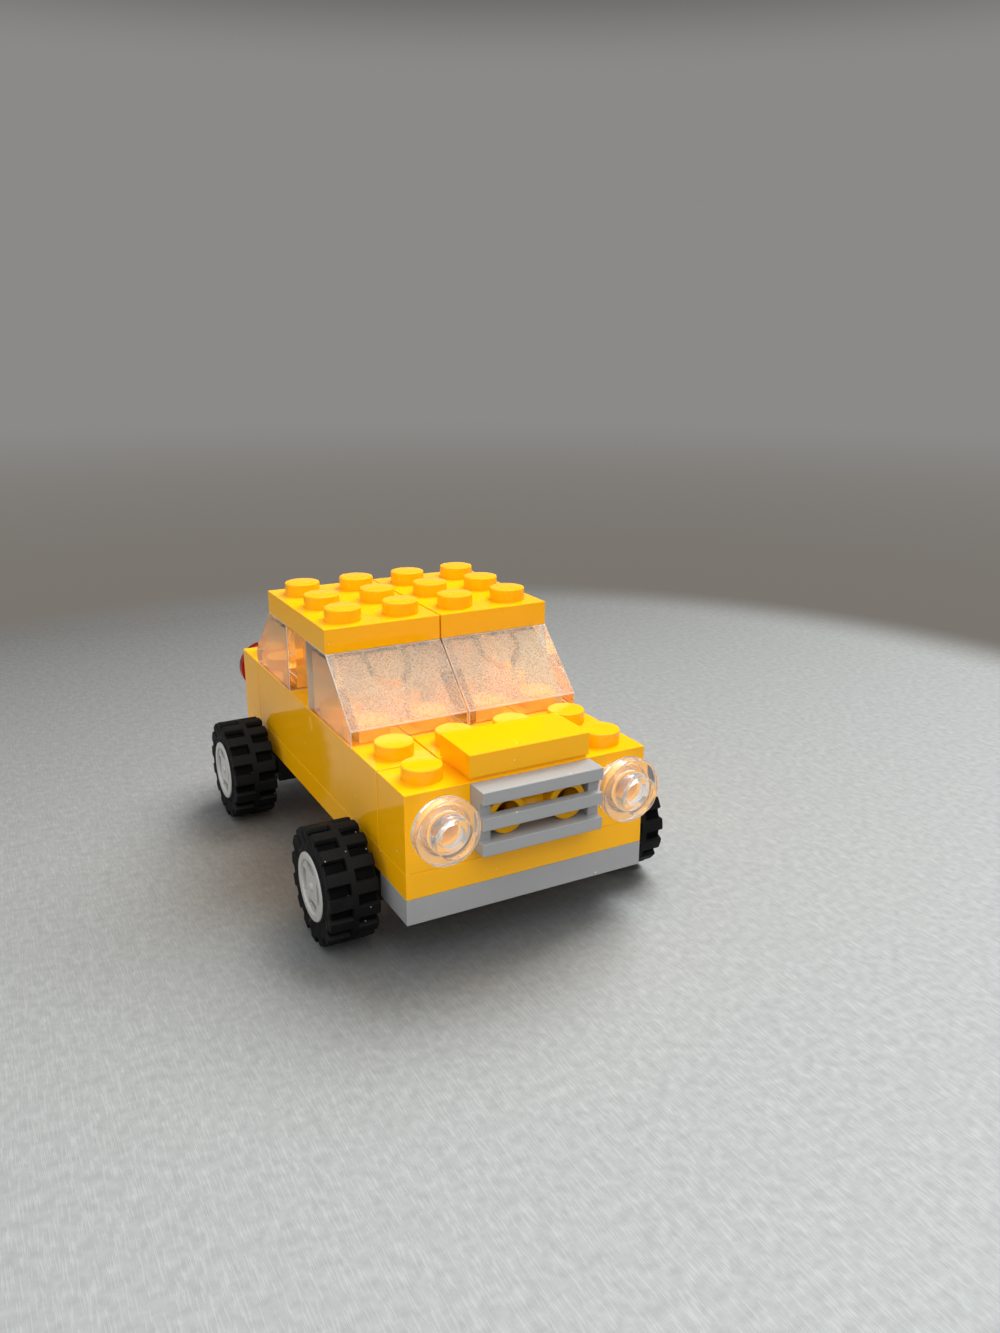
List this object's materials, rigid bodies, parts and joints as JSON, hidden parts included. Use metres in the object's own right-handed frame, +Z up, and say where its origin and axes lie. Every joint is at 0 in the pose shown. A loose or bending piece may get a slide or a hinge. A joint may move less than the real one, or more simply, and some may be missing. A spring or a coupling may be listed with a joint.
{
  "type": "brick-built toy car",
  "caption": "Small toy car built of studded plates and bricks, with clear sloped windows, a slotted grille, round lights and free-rolling tyred wheels.",
  "frame": {"origin": "on the ground, under the middle of the car", "axes": "+Z up, the car faces -Y, +X towards the car's left-hand side"},
  "size_m": [0.0466, 0.0736, 0.0366],
  "materials": {
    "yellow_abs": "moulded, glossy bright yellow",
    "grey_abs": "moulded, glossy light grey",
    "black_abs": "moulded, glossy black",
    "hub_abs": "moulded, satin light grey",
    "tyre_rubber": "moulded, matt black",
    "clear_polycarbonate": "moulded, clear, sloped faces finely frosted",
    "red_polycarbonate": "moulded, clear red"
  },
  "bodies": {
    "car_body": {"front_bumper_plate": "grey_abs", "rear_bumper_plate": "grey_abs", "front_axle_plate": "black_abs", "rear_axle_plate": "black_abs", "base_plate": "yellow_abs", "front_light_brick": "yellow_abs", "rear_light_brick": "yellow_abs", "right_side_brick": "yellow_abs", "left_side_brick": "yellow_abs", "centre_brick": "yellow_abs", "bonnet_tile": "yellow_abs", "right_windscreen": "clear_polycarbonate", "left_windscreen": "clear_polycarbonate", "right_rear_window": "clear_polycarbonate", "left_rear_window": "clear_polycarbonate", "right_roof_plate": "yellow_abs", "left_roof_plate": "yellow_abs", "grille_tile": "grey_abs", "right_headlight": "clear_polycarbonate", "left_headlight": "clear_polycarbonate", "right_tail_light": "red_polycarbonate", "left_tail_light": "red_polycarbonate"},
    "front_right_wheel": {"front_right_hub": "hub_abs", "front_right_tyre": "tyre_rubber"},
    "front_left_wheel": {"front_left_hub": "hub_abs", "front_left_tyre": "tyre_rubber"},
    "rear_right_wheel": {"rear_right_hub": "hub_abs", "rear_right_tyre": "tyre_rubber"},
    "rear_left_wheel": {"rear_left_hub": "hub_abs", "rear_left_tyre": "tyre_rubber"}
  },
  "joints": [
    {"name": "front_right_roll", "type": "hinge", "parent": "car_body", "child": "front_right_wheel", "pos_m": [-0.0201, -0.02, 0.0072], "axis": [1, 0, 0], "continuous": true},
    {"name": "front_left_roll", "type": "hinge", "parent": "car_body", "child": "front_left_wheel", "pos_m": [0.0201, -0.02, 0.0072], "axis": [1, 0, 0], "continuous": true},
    {"name": "rear_right_roll", "type": "hinge", "parent": "car_body", "child": "rear_right_wheel", "pos_m": [-0.0201, 0.02, 0.0072], "axis": [1, 0, 0], "continuous": true},
    {"name": "rear_left_roll", "type": "hinge", "parent": "car_body", "child": "rear_left_wheel", "pos_m": [0.0201, 0.02, 0.0072], "axis": [1, 0, 0], "continuous": true}
  ]
}
